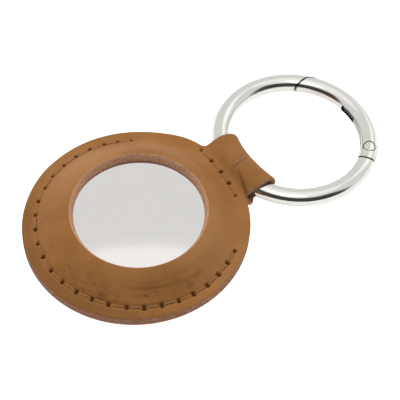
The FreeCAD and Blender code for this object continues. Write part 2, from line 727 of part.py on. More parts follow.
def gate_plunger():
    """A curved slide in the gate's channel, pushed by the spring against the tongue's cam."""
    side = "(Derived.fork - 2 * Sizes.plunger_gap)"
    outer_measures = {
        "Radius": "Derived.ring_radius + Sizes.channel_depth - Sizes.plunger_gap",
        "Height": side,
        "Angle": "Sizes.pin_angle - Sizes.plunger_end_angle",
    }
    outer = primitive("Cylinder", "plunger_outer", outer_measures, z=f"-{side} / 2", turn="-Sizes.pin_angle")
    in_wire = combine("Common", "plunger_in_wire", outer, ring_torus("plunger_bounds", "Derived.wire_radius"))
    block = "2 * Sizes.ring_wire"
    face_measures = {"Length": block, "Width": block, "Height": block}
    face_x = f"Derived.pin_x - {block} / 2 * cos(Sizes.pin_angle * 1deg)" \
             f" + (Derived.plunger_face - {block}) * sin(Sizes.pin_angle * 1deg)"
    face_y = f"Derived.pin_y + {block} / 2 * sin(Sizes.pin_angle * 1deg)" \
             f" + (Derived.plunger_face - {block}) * cos(Sizes.pin_angle * 1deg)"
    face = primitive("Box", "plunger_face_block", face_measures, x=face_x, y=face_y, z=f"-{block} / 2",
                     turn="-Sizes.pin_angle")
    item = as_node(combine("Cut", "gate_plunger", in_wire, face), "gate_plunger")
    place_on_ring(item)


def gate_spring():
    """A short coil between the plunger and the blind end of the gate's channel."""
    coil_radius = sizes.spring_radius
    wire_radius = sizes.spring_wire / 2
    turns = int(sizes.spring_turns)
    axis_radius = derived.ring_radius - sizes.spring_inset

    def on_axis(angle):
        return Vector(math.cos(math.radians(angle)), math.sin(math.radians(angle)), 0) * axis_radius

    start = on_axis(-sizes.plunger_end_angle)
    end = on_axis(sizes.channel_end_angle)
    along = (end - start).normalize()
    start = start + along * 2 * wire_radius
    end = end - along * 2 * wire_radius
    out = Vector(0, 0, 1)
    across = along.cross(out)

    def on_coil(turn):
        swing = 2 * math.pi * turn
        radial = out * math.cos(swing) + across * math.sin(swing)
        return start + (end - start) * (turn / turns) + radial * coil_radius

    quarters = 4 * turns
    edges = [Part.Arc(on_coil(q / 4), on_coil((q + 0.5) / 4), on_coil((q + 1) / 4)).toShape()
             for q in range(quarters)]
    item = doc.addObject("Part::Feature", "gate_spring")
    item.Shape = tube_along(Part.Wire(edges), wire_radius)
    place_on_ring(item)
    as_node(item, "gate_spring")
    pitch = (end - start).Length / turns
    print(f"gate spring: least gap between turns {pitch - 2 * wire_radius:.2f} mm")


ring_body()
ring_gate()
gate_pin()
gate_plunger()
gate_spring()


# The coin tracker, each piece made about the tag's middle

def tag_piece(name, points, arcs=None):
    return turned_body(name, points, arcs, z="Derived.seam_level")


def disc_ring(name, inner, outer, bottom, top):
    return tag_piece(name, [(inner, bottom), (outer, bottom), (outer, top), (inner, top)])


shell_points = [
    ("0", "-Derived.tag_half"),
    ("Derived.tag_flat_radius", "-Derived.tag_half"),
    ("Sizes.tag_radius", "-Derived.side_half"),
    ("Sizes.tag_radius", "Derived.side_half"),
    ("Derived.tag_flat_radius", "Derived.tag_half"),
    ("Derived.cover_bore", "Derived.tag_half"),
    ("Derived.cover_bore", "Derived.groove_top"),
    ("Derived.groove_radius", "Derived.groove_top"),
    ("Derived.groove_radius", "Derived.groove_bottom"),
    ("Derived.cover_bore", "Derived.groove_bottom"),
    ("Derived.cover_bore", "Derived.shell_floor_top"),
    ("0", "Derived.shell_floor_top"),
]
tag_shell = tag_piece("tag_shell", shell_points, {1: ("Derived.tag_edge", 1), 3: ("Derived.tag_edge", 1)})
place(tag_shell, z="Derived.seam_level", turn="Sizes.cover_turn")
slot_points = [
    ("Derived.skirt_inner", "Derived.groove_bottom"),
    ("Derived.groove_radius", "Derived.groove_bottom"),
    ("Derived.groove_radius", "Sizes.tag_thickness"),
    ("Derived.skirt_inner", "Sizes.tag_thickness"),
]
slot_sketch = draw_outline(tag_shell, "XZ_Plane", "lug_slot", slot_points)
lug_slot = revolve(tag_shell, slot_sketch, "Groove", "Derived.slot_angle")
polar_pattern(tag_shell, lug_slot, slot_sketch, "V_Axis", "360", "Sizes.lug_count")

cover_points = [
    ("0", "Derived.tag_half"),
    ("Derived.cover_radius", "Derived.cover_edge_top"),
    ("Derived.cover_radius", "Derived.skirt_bottom"),
    ("Derived.skirt_inner", "Derived.skirt_bottom"),
    ("Derived.skirt_inner", "Derived.cover_under"),
    ("0", "Derived.cover_under"),
]
battery_cover = tag_piece("battery_cover", cover_points, {0: ("Derived.crown_curve", -1)})
lug_points = [
    ("Derived.skirt_inner", "Derived.skirt_bottom"),
    ("Derived.lug_radius", "Derived.skirt_bottom"),
    ("Derived.lug_radius", "Derived.lug_top"),
    ("Derived.skirt_inner", "Derived.lug_top"),
]
lug_sketch = draw_outline(battery_cover, "XZ_Plane", "cover_lug", lug_points)
cover_lug = revolve(battery_cover, lug_sketch, angle="Sizes.lug_angle")
polar_pattern(battery_cover, cover_lug, lug_sketch, "V_Axis", "360", "Sizes.lug_count")

tray_points = [
    ("0", "Derived.tray_floor_bottom"),
    ("Derived.tray_leg_inner", "Derived.tray_floor_bottom"),
    ("Derived.tray_leg_inner", "Derived.shell_floor_top"),
    ("Derived.tray_radius", "Derived.shell_floor_top"),
    ("Derived.tray_radius", "Derived.tray_top"),
    ("Derived.tray_well_radius", "Derived.tray_top"),
    ("Derived.tray_well_radius", "Derived.tray_floor_top"),
    ("0", "Derived.tray_floor_top"),
]
tag_piece("battery_tray", tray_points)
cell_points = [
    ("0", "Derived.cell_bottom"),
    ("Derived.cell_cap_radius", "Derived.cell_bottom"),
    ("Derived.cell_cap_radius", "Derived.cell_bottom + Sizes.cell_step"),
    ("Derived.cell_radius", "Derived.cell_bottom + Sizes.cell_step"),
    ("Derived.cell_radius", "Derived.cell_top"),
    ("0", "Derived.cell_top"),
]
tag_piece("coin_cell", cell_points)
disc_ring("cover_gasket", "Derived.gasket_inner", "Derived.gasket_outer",
          "Derived.tray_top", "Derived.cover_under")
disc_ring("circuit_board", "Derived.board_inner", "Derived.board_radius",
          "Derived.tray_floor_bottom - Sizes.board_thickness", "Derived.tray_floor_bottom")
disc_ring("sounder_magnet", "0", "Derived.magnet_radius",
          "Derived.tray_floor_bottom - Sizes.magnet_height", "Derived.tray_floor_bottom")
disc_ring("sounder_coil", "Derived.coil_inner", "Derived.coil_outer",
          "Derived.shell_floor_top", "Derived.shell_floor_top + Sizes.coil_height")


def cell_contact():
    """A spring contact stamped in one piece: a flat hub with three arms that rise to the cell."""
    floor = "Derived.tray_floor_top"
    sheet = "Sizes.contact_sheet"
    hub_points = [
        ("0", floor),
        ("Sizes.contact_hub_radius", floor),
        ("Sizes.contact_hub_radius", f"{floor} + {sheet}"),
        ("0", f"{floor} + {sheet}"),
    ]
    body = tag_piece("cell_contact", hub_points)
    foot = "Sizes.contact_hub_radius / 2"
    knee = "(Sizes.contact_hub_radius + Sizes.contact_knee)"
    tip = "Sizes.contact_reach"
    arm_points = [
        (foot, floor),
        (knee, floor),
        (f"{tip} - {sheet}", f"Derived.cell_bottom - {sheet}"),
        (tip, f"Derived.cell_bottom - {sheet}"),
        (tip, "Derived.cell_bottom"),
        (f"{tip} - 2 * {sheet}", "Derived.cell_bottom"),
        (f"{knee} - {sheet}", f"{floor} + {sheet}"),
        (foot, f"{floor} + {sheet}"),
    ]
    sketch = draw_outline(body, "XZ_Plane", "contact_arm", arm_points)
    arm = body.newObject("PartDesign::Pad", "contact_arm_pad")
    arm.Profile = sketch
    arm.Midplane = True
    arm.setExpression("Length", "Sizes.contact_width")
    polar_pattern(body, arm, sketch, "V_Axis", "360", "Sizes.contact_arms")


cell_contact()

doc.recompute()

for item in doc.Objects:
    if "Invalid" in item.State or "Error" in item.State:
        raise RuntimeError(f"{item.Label} did not build: {item.State}")
for node in nodes:
    if node.Shape.isNull() or not node.Shape.isValid() or not node.Shape.Solids:
        raise RuntimeError(f"{node.Label} has no valid solid")

os.makedirs("parts", exist_ok=True)
for node in nodes:
    node.Shape.exportStep(f"parts/{node.Label}.step")
    print(f"{node.Label}: {len(node.Shape.Solids)} solid, {node.Shape.Volume:.2f} mm3")
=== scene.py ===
"""The look of a leather tag holder on a sprung gate ring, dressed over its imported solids.

Meshes are drawn in millimetres and turned into metres when they become pieces.
"""

import math
import random

import bmesh
import bpy
from mathutils import Matrix, Vector, noise
from mathutils.bvhtree import BVHTree
from mathutils.geometry import interpolate_bezier
from mathutils.kdtree import KDTree
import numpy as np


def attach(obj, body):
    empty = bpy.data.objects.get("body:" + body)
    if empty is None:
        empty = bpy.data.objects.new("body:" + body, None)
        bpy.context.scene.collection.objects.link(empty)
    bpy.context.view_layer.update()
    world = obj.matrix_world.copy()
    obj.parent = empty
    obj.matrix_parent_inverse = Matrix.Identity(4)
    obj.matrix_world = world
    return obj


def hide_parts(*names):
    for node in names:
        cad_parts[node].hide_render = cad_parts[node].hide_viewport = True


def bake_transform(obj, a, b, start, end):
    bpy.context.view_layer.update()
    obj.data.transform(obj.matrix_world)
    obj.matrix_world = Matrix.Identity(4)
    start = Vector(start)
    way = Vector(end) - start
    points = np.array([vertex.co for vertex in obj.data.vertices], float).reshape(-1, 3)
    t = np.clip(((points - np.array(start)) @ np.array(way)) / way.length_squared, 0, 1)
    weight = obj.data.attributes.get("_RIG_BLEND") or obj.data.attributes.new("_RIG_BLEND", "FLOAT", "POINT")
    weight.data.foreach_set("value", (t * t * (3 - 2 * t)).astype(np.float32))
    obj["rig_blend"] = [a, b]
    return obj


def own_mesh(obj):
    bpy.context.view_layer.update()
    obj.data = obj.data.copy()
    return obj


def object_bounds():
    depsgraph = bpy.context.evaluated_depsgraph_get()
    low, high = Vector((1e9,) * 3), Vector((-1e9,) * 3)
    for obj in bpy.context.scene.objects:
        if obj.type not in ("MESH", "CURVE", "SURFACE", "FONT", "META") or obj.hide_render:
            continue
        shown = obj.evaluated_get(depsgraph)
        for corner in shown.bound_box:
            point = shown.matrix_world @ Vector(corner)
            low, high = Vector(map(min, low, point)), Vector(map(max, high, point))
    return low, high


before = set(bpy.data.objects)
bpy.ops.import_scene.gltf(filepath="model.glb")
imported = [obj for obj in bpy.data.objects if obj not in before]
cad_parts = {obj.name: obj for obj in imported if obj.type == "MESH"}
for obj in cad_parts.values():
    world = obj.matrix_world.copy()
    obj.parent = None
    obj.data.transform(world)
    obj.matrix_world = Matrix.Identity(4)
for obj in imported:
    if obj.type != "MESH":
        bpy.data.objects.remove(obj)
cad_low, cad_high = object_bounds()


# Front panel and tab
# One piece of tan leather a millimetre thick, pressed into a dome over the tag, with the window cut through
# its crown. A strip of it runs on as the tab, folds round the ring and is sewn back under the rim.

MM = 0.001
leather = 1.1
seam_level = 5.3
seam_centre = Vector((0.22, -0.05, 0))
seam_radius = 18.95
seam_start = 58.65
seam_end = 303.9
seam_holes = 27
hole_radius = 0.5
hole_depth = 0.85
window_shift = Vector((0.33, -0.37, 0))
disc_radius = -cad_low[0] / MM
tab_half_width = 6.8
tab_edge = math.sqrt(disc_radius ** 2 - tab_half_width ** 2)
tab_seam_x = 19.43
tab_seam_top = 6.41
tab_seam_bottom = -5.91
tab_seam_holes = 5
ring_centre = Vector((36.769, 0, 3.075))
ring_radius = 14.25
ring_tilt = math.radians(5.335)
wire_x = ring_centre.x - ring_radius * math.cos(ring_tilt)
wire_z = ring_centre.z + ring_radius * math.sin(ring_tilt)
spin_steps = 720


def smooth(share):
    """A share from 0 to 1, eased at both ends."""
    held = min(max(share, 0), 1)
    return held * held * (3 - 2 * held)


def rising(value, low, high):
    """0 up to the low end of a range and 1 from its high end on, eased between them."""
    return smooth((value - low) / (high - low))


def curve(start, start_handle, end_handle, end, count):
    """Points along a smooth bend in the XZ plane, from its start up to just before its end."""
    knots = [Vector((x, 0, z)) for x, z in (start, start_handle, end_handle, end)]
    return interpolate_bezier(*knots, count + 1)[:-1]


def draw_profile(bm, points, raw_shares):
    """A closed loop of edges; each point says how raw the cut leather is there."""
    raw = bm.verts.layers.float.new("raw")
    bm.verts.layers.float.new("hollow")
    corners = []
    for point, share in zip(points, raw_shares):
        corner = bm.verts.new(point)
        corner[raw] = share
        corners.append(corner)
    for first, second in zip(corners, corners[1:] + corners[:1]):
        bm.edges.new((first, second))


def turn_round(bm, steps):
    """Spin what is drawn a full turn about the disc's axis."""
    bmesh.ops.spin(bm, geom=bm.verts[:] + bm.edges[:], cent=(0, 0, 0), axis=(0, 0, 1),
                   angle=2 * math.pi, steps=steps, use_merge=True)
    bmesh.ops.remove_doubles(bm, verts=bm.verts[:], dist=0.0005)
    bmesh.ops.recalc_face_normals(bm, faces=bm.faces[:])


def cut_by_hand(bm):
    """Let the rim swell on one side and beside the tab and droop on another; set a window off the middle."""
    swollen_side = math.radians(168)
    side_swelling = 0.24
    tab_shoulder = math.radians(27)
    shoulder_spread = math.radians(15)
    shoulder_swelling = 0.6
    drooping_side = math.radians(205)
    droop = 0.45
    for vert in bm.verts:
        reach = vert.co.xy.length
        turn = math.atan2(vert.co.y, vert.co.x)
        crown = rising(reach, 8, 11) * (1 - rising(reach, 13.2, 18.2))
        slope = rising(reach, 15, 21)
        flange = rising(reach, 17, 21)
        edge = rising(reach, 18.9, 21.3)
        beside_tab = math.exp(-((turn - tab_shoulder) / shoulder_spread) ** 2)
        swelling = side_swelling * max(math.cos(turn - swollen_side), 0) ** 2 * slope
        swelling += shoulder_swelling * beside_tab * flange
        vert.co += window_shift * crown
        vert.co += Vector((math.cos(turn), math.sin(turn), 0)) * swelling
        vert.co.z -= droop * max(math.cos(turn - drooping_side), 0) * edge


def seam_points():
    """The awl holes round the rim: two short stitches, then longer ones, each a little off its even place."""
    hand = random.Random(7)
    short_stitches = 2
    short_step = 7.8
    drift = 1.6
    angle_wander = 0.3
    radius_wander = 0.09
    drawn_in = 0.25
    drawn_in_holes = 4
    long_start = seam_start + short_stitches * short_step
    holes = []
    for hole in range(seam_holes):
        share = (hole - short_stitches) / (seam_holes - 1 - short_stitches)
        angle = seam_start + short_step * hole
        if share > 0:
            angle = long_start + (seam_end - long_start) * share - drift * math.sin(2 * math.pi * share)
        turn = math.radians(angle + hand.uniform(-angle_wander, angle_wander))
        radius = seam_radius - drawn_in * (1 - smooth(hole / drawn_in_holes))
        radius += hand.uniform(-radius_wander, radius_wander)
        holes.append(seam_centre + Vector((math.cos(turn), math.sin(turn), 0)) * radius)
    return holes


def tab_seam_points():
    """The awl holes across the root of the tab, in a row that bends inwards at one end."""
    hand = random.Random(9)
    wander = 0.08
    bend = 0.028
    pitch = (tab_seam_bottom - tab_seam_top) / (tab_seam_holes - 1)
    holes = []
    for hole in range(tab_seam_holes):
        y = tab_seam_top + pitch * hole + hand.uniform(-wander, wander)
        x = tab_seam_x - bend * max(0.5 - y, 0) ** 2 + hand.uniform(-wander, wander)
        holes.append(Vector((x, y, 0)))
    return holes


def press_holes(bm, holes, side):
    """Sink an awl hole at each point and a groove for the thread between them, on one side of the leather."""
    hollow = bm.verts.layers.float["hollow"]
    groove_depth = 0.2
    groove_width = 0.32
    groove_reach = 2.5 * groove_width
    groove_steps = 30
    far_size = 0.84
    near_growth = 0.26
    size_wander = 0.08
    end_size = 0.72
    skin_share = 0.7
    skin_level = seam_level + side * skin_share * leather
    skin = [vert for vert in bm.verts if (vert.co.z - skin_level) * side > 0]
    tree = KDTree(len(skin))
    for index, vert in enumerate(skin):
        tree.insert((vert.co.x, vert.co.y, 0), index)
    tree.balance()

    sinks = [0.0] * len(skin)
    for first, second in zip(holes, holes[1:]):
        for step in range(groove_steps):
            spot = first.lerp(second, step / groove_steps)
            for _, index, distance in tree.find_range(spot, groove_reach):
                sinks[index] = max(sinks[index], groove_depth * math.exp(-(distance / groove_width) ** 2))
    hand = random.Random(5)
    for hole in holes:
        nearness = rising(-hole.y, -15, 15)
        opened = hole_radius * (far_size + near_growth * nearness + hand.uniform(-size_wander, size_wander))
        if hole in (holes[0], holes[-1]):
            opened *= end_size
        for _, index, distance in tree.find_range(hole, opened):
            share = 1 - smooth(2 * distance / opened - 1)
            skin[index][hollow] = max(skin[index][hollow], share)
            sinks[index] = max(sinks[index], hole_depth * share)
    for vert, sink in zip(skin, sinks):
        vert.co.z -= side * sink


def swell(bm, amount, size, seed):
    """Give pressed leather its slight unevenness."""
    shift = Vector((seed, 0, 0))
    bm.normal_update()
    for vert in bm.verts:
        vert.co += vert.normal * amount * noise.noise(vert.co / size + shift)


def finish_piece(bm, name, finish):
    """Turn a drawing in millimetres into a smooth piece of the object with one finish."""
    bmesh.ops.scale(bm, vec=(MM, MM, MM), verts=bm.verts[:])
    mesh = bpy.data.meshes.new(name)
    bm.to_mesh(mesh)
    bm.free()
    mesh.polygons.foreach_set("use_smooth", [True] * len(mesh.polygons))
    mesh.materials.append(finish)
    piece = bpy.data.objects.new(name, mesh)
    bpy.context.scene.collection.objects.link(piece)
    return piece


class Shade:
    """A value, colour or vector in one finish; arithmetic on values adds Math nodes."""

    def __init__(self, tree, socket=None):
        self.tree = tree
        self.socket = socket

    def node(self, kind, settings, inputs, output=0):
        """Add any node: its settings come first, then the values or links of its sockets."""
        made = self.tree.nodes.new(kind)
        for name, setting in settings.items():
            setattr(made, name, setting)
        for name, given in inputs.items():
            if isinstance(given, Shade):
                self.tree.links.new(given.socket, made.inputs[name])
            else:
                made.inputs[name].default_value = given
        return Shade(self.tree, made.outputs[output] if len(made.outputs) else None)

    def math(self, operation, *values):
        """One Math node."""
        return self.node("ShaderNodeMath", {"operation": operation}, dict(enumerate(values)))

    def __add__(self, other):
        return self.math("ADD", self, other)

    def __radd__(self, other):
        return self.math("ADD", other, self)

    def __sub__(self, other):
        return self.math("SUBTRACT", self, other)

    def __rsub__(self, other):
        return self.math("SUBTRACT", other, self)

    def __mul__(self, other):
        return self.math("MULTIPLY", self, other)

    def __rmul__(self, other):
        return self.math("MULTIPLY", other, self)

    def place(self):
        """Where a point lies in the piece's own frame, in metres."""
        return self.node("ShaderNodeTexCoord", {}, {}, "Object")

    def axes(self, vector):
        """The X, Y and Z of a vector, as three values."""
        split = self.node("ShaderNodeSeparateXYZ", {}, {"Vector": vector}).socket.node
        return [Shade(self.tree, output) for output in split.outputs]

    def between(self, low, high):
        """Eased from 0 to 1 as the value goes from low to high."""
        return self.node("ShaderNodeMapRange", {"interpolation_type": "SMOOTHSTEP"},
                         {"Value": self, "From Min": low, "From Max": high})

    def mix(self, first, second):
        """A colour between two colours, by this value."""
        return self.node("ShaderNodeMix", {"data_type": "RGBA"}, {0: self, 6: first, 7: second}, 2)

    def speckle(self, place, size, detail=3.0):
        """Cloudy noise with features of one size in millimetres."""
        return self.node("ShaderNodeTexNoise", {},
                         {"Vector": place, "Scale": 1 / (size * MM), "Detail": detail})

    def away(self, place, spot, size):
        """0 at a spot, easing to 1 so many millimetres away from it."""
        distance = self.node("ShaderNodeVectorMath", {"operation": "DISTANCE"}, {0: place, 1: spot}, "Value")
        return distance.between(0.2 * size * MM, size * MM)

    def bump(self, height, depth):
        """A normal bent by a height of up to so many millimetres."""
        return self.node("ShaderNodeBump", {}, {"Height": height, "Distance": depth * MM})

    def surface(self, **sockets):
        """The finish's own shader; two words of a socket's name are joined by an underscore."""
        named = {name.replace("_", " "): given for name, given in sockets.items()}
        shader = self.node("ShaderNodeBsdfPrincipled", {}, named)
        return self.node("ShaderNodeOutputMaterial", {}, {"Surface": shader})


def new_finish(name):
    """An empty finish and the start of its nodes."""
    finish = bpy.data.materials.new(name)
    finish.use_nodes = True
    finish.node_tree.nodes.clear()
    return finish, Shade(finish.node_tree)


def leather_finish():
    """Smooth aniline leather: even tan, fine pores, creases on the near slope and suede-like cut edges;
    painted highlights on the dome, painted shade on the left rim, in the creases and in the awl holes,
    smudges with painted shade on the near slope and a window wall painted paler in part as painted light.
    """
    finish, paint = new_finish("tan_leather")
    place = paint.place()
    raw = paint.node("ShaderNodeAttribute", {"attribute_name": "raw"}, {}, "Fac")
    hollow = paint.node("ShaderNodeAttribute", {"attribute_name": "hollow"}, {}, "Fac")

    near_side = (-0.588, -0.809)
    dark_dye = (0.200, 0.084, 0.0215, 1)
    light_dye = (0.246, 0.108, 0.0300, 1)
    highlight_tan = (0.280, 0.135, 0.050, 1)
    rim_shade_and_tab_brown = (0.130, 0.052, 0.014, 1)
    smudge_and_shade_brown = (0.085, 0.032, 0.008, 1)
    crease_shade_brown = (0.06, 0.022, 0.006, 1)
    hole_shade_brown = (0.11, 0.034, 0.007, 1)
    tuft_tan = (0.50, 0.33, 0.25, 1)
    wrinkle_stretch = 1.4 * MM

    x, y, z = paint.axes(place)
    turn = paint.math("ARCTAN2", y, x)
    reach = paint.math("SQRT", x * x + y * y)
    round_place = paint.node("ShaderNodeCombineXYZ", {}, {"X": reach, "Y": turn * wrinkle_stretch, "Z": z})
    slope = reach.between(14.5 * MM, 16.5 * MM) * (1 - reach.between(17.8 * MM, 19.0 * MM))
    upper_slope = slope * z.between(5.8 * MM, 6.6 * MM)
    bent = (x * near_side[0] + y * near_side[1]).between(6.5 * MM, 15.5 * MM) * upper_slope
    wrinkle = paint.speckle(round_place, 0.5, 4.0)
    lines = 1 - paint.math("ABSOLUTE", wrinkle - 0.5).between(0.0, 0.05)
    patches = paint.speckle(place, 2.2, 2.0).between(0.42, 0.6)
    smudge_and_shade_patches = paint.speckle(round_place, 1.1, 3.0).between(0.48, 0.7)
    creases = bent * lines * patches

    cloud = paint.speckle(place, 6.0, 3.0)
    fleck = paint.speckle(place, 0.45, 4.0)
    tone = (cloud * 0.65 + fleck * 0.35).between(0.34, 0.66)
    dyed = tone.mix(dark_dye, light_dye)
    # Painted highlights: two lighter patches on the dome, on its far slope and on its near slope.
    far_painted_highlight = 1 - paint.away(place, (-3 * MM, 14.5 * MM, 9 * MM), 11)
    near_painted_highlight = 1 - paint.away(place, (7 * MM, -14 * MM, 8.5 * MM), 11)
    highlighted = ((far_painted_highlight + near_painted_highlight) * 0.5).mix(dyed, highlight_tan)
    # Painted shade on the left rim; the leather from the tab's root outwards is also a little darker.
    shaded_left_rim = (0 - x).between(4 * MM, 17 * MM) * reach.between(18.7 * MM, 19.8 * MM)
    rim_shade_and_darker_tab = shaded_left_rim + x.between(19.5 * MM, 21.5 * MM) * 0.5
    tan = (rim_shade_and_darker_tab * 0.5).mix(highlighted, rim_shade_and_tab_brown)
    # Smudges together with painted shade, on the near slope only.
    smudged_and_shaded = (bent * smudge_and_shade_patches * 0.36).mix(tan, smudge_and_shade_brown)
    # Painted shade in the creases.
    crease_shaded = (creases * 0.56).mix(smudged_and_shaded, crease_shade_brown)
    fibre = paint.speckle(place, 0.22, 5.0)
    strand = fibre.between(0.36, 0.62)
    rim_suede = strand.mix((0.15, 0.067, 0.034, 1), (0.30, 0.155, 0.092, 1))
    window_suede_with_painted_light = strand.mix((0.30, 0.142, 0.073, 1), (0.52, 0.290, 0.175, 1))
    # The window's cut wall is painted paler than the rim's cut edge, in part as painted light.
    suede = z.between(8.8 * MM, 9.2 * MM).mix(rim_suede, window_suede_with_painted_light)
    tuft = paint.speckle(place, 0.34, 2.0).between(0.6, 0.68)
    frayed = (tuft * 0.6).mix(suede, tuft_tan)
    cut = raw.mix(crease_shaded, frayed)
    # Painted shade in the awl holes, by the hollow share the holes were pressed with.
    colour = (hollow * 0.95).mix(cut, hole_shade_brown)

    pores = paint.node("ShaderNodeTexVoronoi", {"feature": "SMOOTH_F1"},
                       {"Vector": place, "Scale": 1 / (0.32 * MM), "Smoothness": 0.5})
    skin_height = pores * 0.22 + fleck * 0.28 - creases * 0.8
    height = raw.mix(skin_height, fibre * 2.0 + tuft * 0.8)
    normal = paint.bump(height, 0.05)
    roughness = (cloud * 0.12 + fleck * 0.10 + 0.46) * (1 - raw) + raw * 0.9 + hollow * 0.2
    paint.surface(Base_Color=colour, Roughness=roughness, Normal=normal, Specular_IOR_Level=0.12)
    return finish


tan_leather = leather_finish()


def front_panel_profile():
    """The section of the domed panel, from the window's lip over the dome and the rim and back underneath."""
    crown = (12.92, 10.56)
    shoulder = (15.3, 9.29)
    foot = (19.3, 6.42)
    rim = (20.66, 6.40)
    inner_foot = (18.861, seam_level)
    inner_shoulder = (15.479, 8.193)
    inner_crown = (12.8, 9.5)

    points = curve(crown, (13.7, 10.27), (14.6, 9.88), shoulder, 14)
    points += curve(shoulder, (16.6, 8.25), (18.35, 6.5), foot, 34)
    points += curve(foot, (19.8, 6.40), (20.2, 6.40), rim, 9)
    raw_shares = [0.0] * len(points)
    edge = [(20.66, 6.40, 0), (20.80, 6.375, 0), (20.90, 6.31, 0.1), (20.965, 6.22, 0.6), (21.0, 6.1, 1),
            (21.011, 5.8, 1), (21.0, 5.5, 1), (20.96, 5.36, 1), (20.88, seam_level, 1)]
    points += [Vector((radius, 0, level)) for radius, level, share in edge]
    raw_shares += [share for radius, level, share in edge]
    under = curve(inner_foot, (17.6, seam_level), (16.28, 7.17), inner_shoulder, 6)
    under += curve(inner_shoulder, (14.835, 9.017), (13.846, 9.5), inner_crown, 5)
    points += under
    raw_shares += [0.6] * len(under)
    wall = [(12.8, 9.5, 1), (12.2, 9.2, 1), (12.06, 9.09, 1), (12.09, 9.2, 1), (12.20, 9.52, 1),
            (12.34, 9.84, 1), (12.49, 10.12, 1), (12.63, 10.34, 1), (12.74, 10.47, 1), (12.80, 10.525, 0.8),
            (12.86, 10.555, 0.2)]
    points += [Vector((radius, 0, level)) for radius, level, share in wall]
    raw_shares += [share for radius, level, share in wall]
    return points, raw_shares


def strip_stations(fold_radius, fold_reach):
    """The middle of the folded strip as (place, share of the ring's curve)."""
    rounding = 0.5523
    wire_room = 2.5
    top = (wire_x, wire_z + fold_radius)
    end = (wire_x + fold_reach, wire_z)
    bottom = (wire_x, wire_z - fold_radius)
    root = (tab_edge, seam_level + leather / 2)
    tail_level = seam_level - leather / 2 - 0.02
    tail = (19.6, tail_level)
    tail_end = (17.2, tail_level)
    rise = curve(root, (root[0] + 1.02, root[1]), (top[0] - 1.08, top[1]), top, count=24)
    over = curve(top, (top[0] + rounding * fold_reach, top[1]),
                 (end[0], end[1] + rounding * fold_radius), end, count=22)
    under = curve(end, (end[0], end[1] - rounding * fold_radius),
                  (bottom[0] + rounding * fold_reach, bottom[1]), bottom, count=14)
    beside = (wire_x - wire_room, wire_z - 0.4)
    back = curve(bottom, (beside[0] + 0.75, bottom[1]), (beside[0] + 0.1, beside[1] - 1.1), beside, count=18)
    back += curve(beside, (beside[0] - 0.03, beside[1] + 0.5), (beside[0] - 0.17, tail_level), tail, count=10)
    flat = curve(tail, (18.8, tail_level), (18.0, tail_level), tail_end, count=16)
    stations = [(place, smooth(step / len(rise))) for step, place in enumerate(rise)]
    stations += [(place, 1.0) for place in over + under]
    stations += [(place, 1 - smooth(step / len(back))) for step, place in enumerate(back)]
    stations += [(place, 0.0) for place in flat]
    return stations


def fold_strip(bm):
    """Run a flat strip out of the rim's cut, draw its shoulder in and fold it round the ring."""
    everything = bm.verts[:] + bm.edges[:] + bm.faces[:]
    cut = bmesh.ops.bisect_plane(bm, geom=everything, dist=0.0001, plane_co=(tab_edge, 0, 0),
                                 plane_no=(1, 0, 0), clear_outer=True)
    rim_edges = [item for item in cut["geom_cut"] if isinstance(item, bmesh.types.BMEdge)]
    fold_radius = 2.55
    fold_reach = 3.5
    stations = strip_stations(fold_radius, fold_reach)
    for _ in stations[1:]:
        made = bmesh.ops.extrude_edge_only(bm, edges=rim_edges)["geom"]
        verts = [item for item in made if isinstance(item, bmesh.types.BMVert)]
        rim_edges = [item for item in made if isinstance(item, bmesh.types.BMEdge)]
        bmesh.ops.translate(bm, vec=(1, 0, 0), verts=verts)
    bmesh.ops.edgeloop_fill(bm, edges=rim_edges)

    shoulder_steps = 8
    far_root = max(vert.co.y for vert in bm.verts if vert.co.x > tab_edge + 0.5)
    end_narrowing = 0.045
    side_step = -0.25
    near_tuck = 0.2
    tuck_start = 20.6
    tuck_full = 22.6
    near_sag = 0.5
    far_sag = 0.75
    corner_start = 0.92
    corner_cut = 0.15
    middle = seam_level + leather / 2
    for vert in bm.verts:
        step = round(vert.co.x - tab_edge)
        if step < 1 or vert.co.x < tab_edge + 0.5:
            continue
        place, share = stations[step]
        before = stations[step - 1][0]
        after = stations[min(step + 1, len(stations) - 1)][0]
        way = (after - before).normalized()
        out = Vector((-way.z, 0, way.x))
        underneath = smooth((wire_z - place.z) / fold_radius)
        fold_end = smooth((place.x - wire_x) / fold_reach)
        width = vert.co.y
        if width > 0:
            left_over = (1 - min(step / shoulder_steps, 1)) ** 2
            width *= left_over + (1 - left_over) * tab_half_width / far_root
        across = width * (1 - end_narrowing * fold_end) + side_step * share
        if across < 0:
            across *= 1 - near_tuck * underneath * rising(place.x, tuck_start, tuck_full)
        sag = ring_radius - math.sqrt(ring_radius ** 2 - across ** 2)
        corner = max(abs(width) / tab_half_width - corner_start, 0) / (1 - corner_start)
        folded = place + out * (vert.co.z - middle)
        folded.x += share * ((far_sag if across > 0 else near_sag) * sag - corner_cut * corner ** 2)
        folded.y = across
        folded.z -= share * sag * math.sin(ring_tilt)
        vert.co = folded


